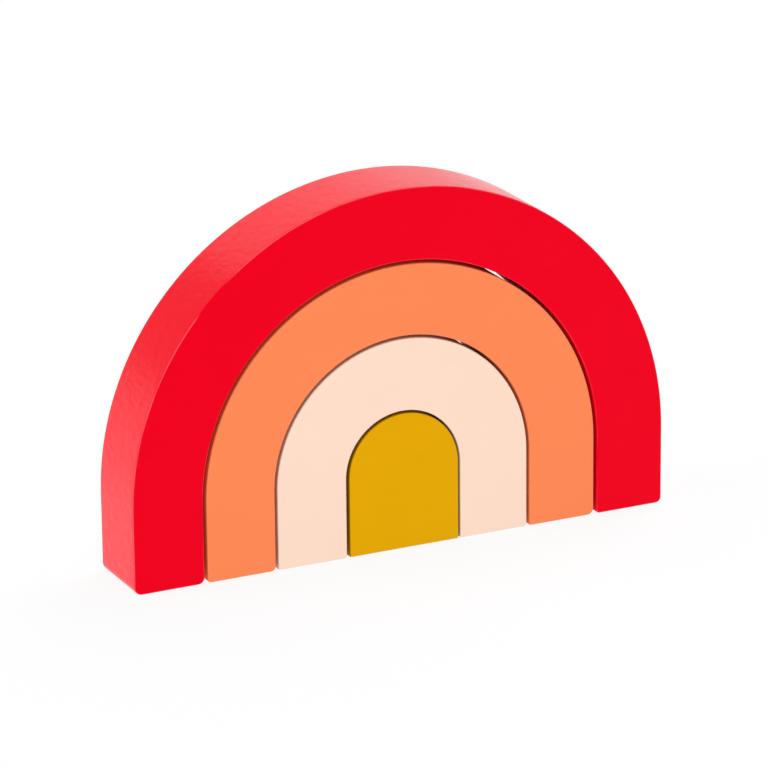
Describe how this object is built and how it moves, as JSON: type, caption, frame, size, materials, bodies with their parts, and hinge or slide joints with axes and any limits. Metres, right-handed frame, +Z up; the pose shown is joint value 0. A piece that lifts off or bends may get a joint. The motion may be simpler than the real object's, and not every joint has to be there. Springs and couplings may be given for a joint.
{
  "type": "rainbow stacker",
  "caption": "Rainbow stacker toy: loose painted wooden arches of graded size nest over a solid dome core and lift off to be stacked, bridged or balanced.",
  "frame": {"origin": "on the table, at the middle of the core's underside, midway between the front and back faces", "axes": "+X across the arches, +Y through the board from the front face to the back face, +Z up"},
  "size_m": [0.16, 0.0222, 0.1025],
  "materials": {
    "mustard_paint": "satin",
    "cream_paint": "satin",
    "orange_paint": "satin",
    "red_paint": "satin"
  },
  "bodies": {
    "core": {"core": "mustard_paint"},
    "cream_arch": {"cream_arch": "cream_paint"},
    "orange_arch": {"orange_arch": "orange_paint"},
    "red_arch": {"red_arch": "red_paint"}
  },
  "joints": [
    {"name": "cream_lift", "type": "slide", "parent": "core", "child": "cream_arch", "axis": [0, 0, 1], "range_m": [0, 0.042]},
    {"name": "orange_lift", "type": "slide", "parent": "cream_arch", "child": "orange_arch", "axis": [0, 0, 1], "range_m": [0, 0.063]},
    {"name": "red_lift", "type": "slide", "parent": "orange_arch", "child": "red_arch", "axis": [0, 0, 1], "range_m": [0, 0.084]}
  ]
}
